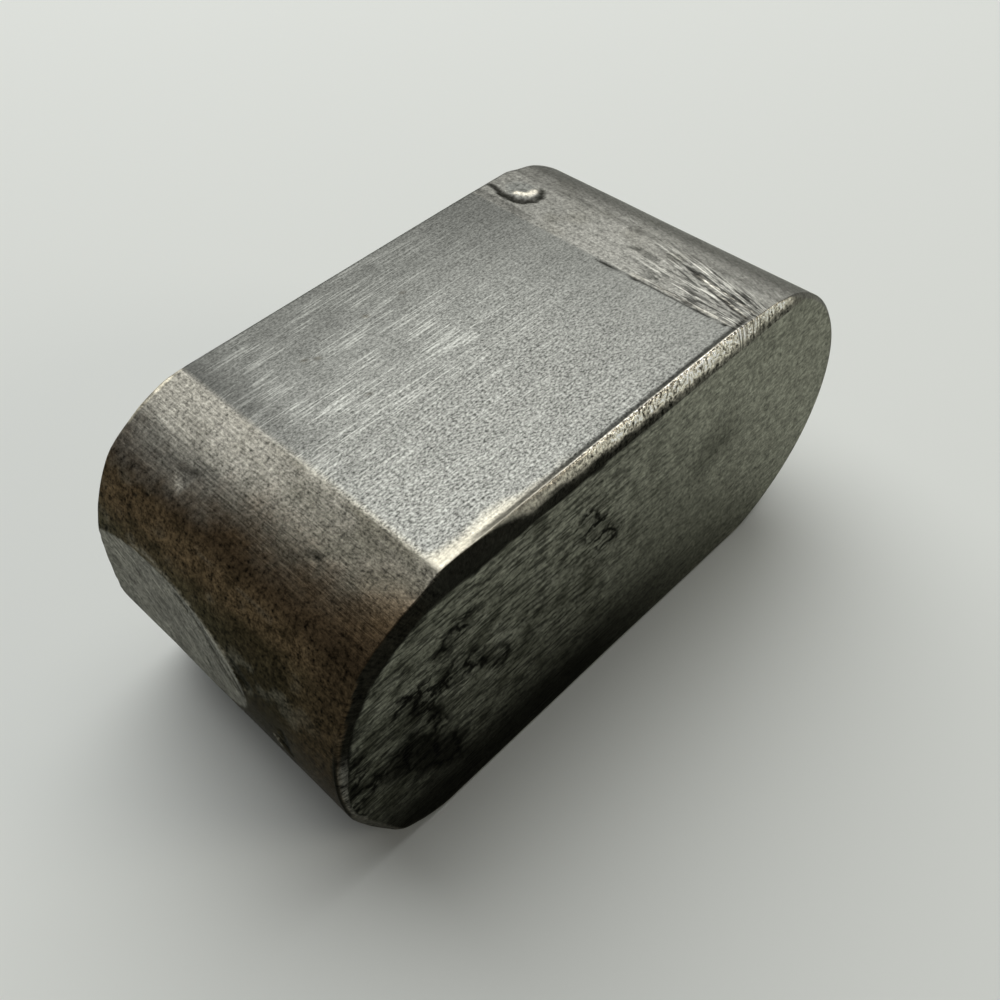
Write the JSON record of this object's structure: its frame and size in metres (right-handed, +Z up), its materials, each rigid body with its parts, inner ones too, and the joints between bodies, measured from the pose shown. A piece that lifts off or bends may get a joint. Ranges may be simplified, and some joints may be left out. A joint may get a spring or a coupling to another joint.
{
  "type": "locating pin",
  "caption": "Solid steel locating pin: a flat-sided block with a round end, a blunter end with a ground patch, a broken front edge, dents and wear.",
  "frame": {"origin": "middle of the lower flat, under the middle of the block", "axes": "+X along the length towards the round end, +Y through the depth towards the back face, +Z up out of the upper flat"},
  "size_m": [0.0214, 0.0108, 0.01],
  "materials": {
    "steel": "hardened steel, ground flats with grinding lines, dark oxide on the rounded end, worn bright along the broken edge"
  },
  "bodies": {
    "root": {"locating_pin": "steel"}
  },
  "joints": []
}
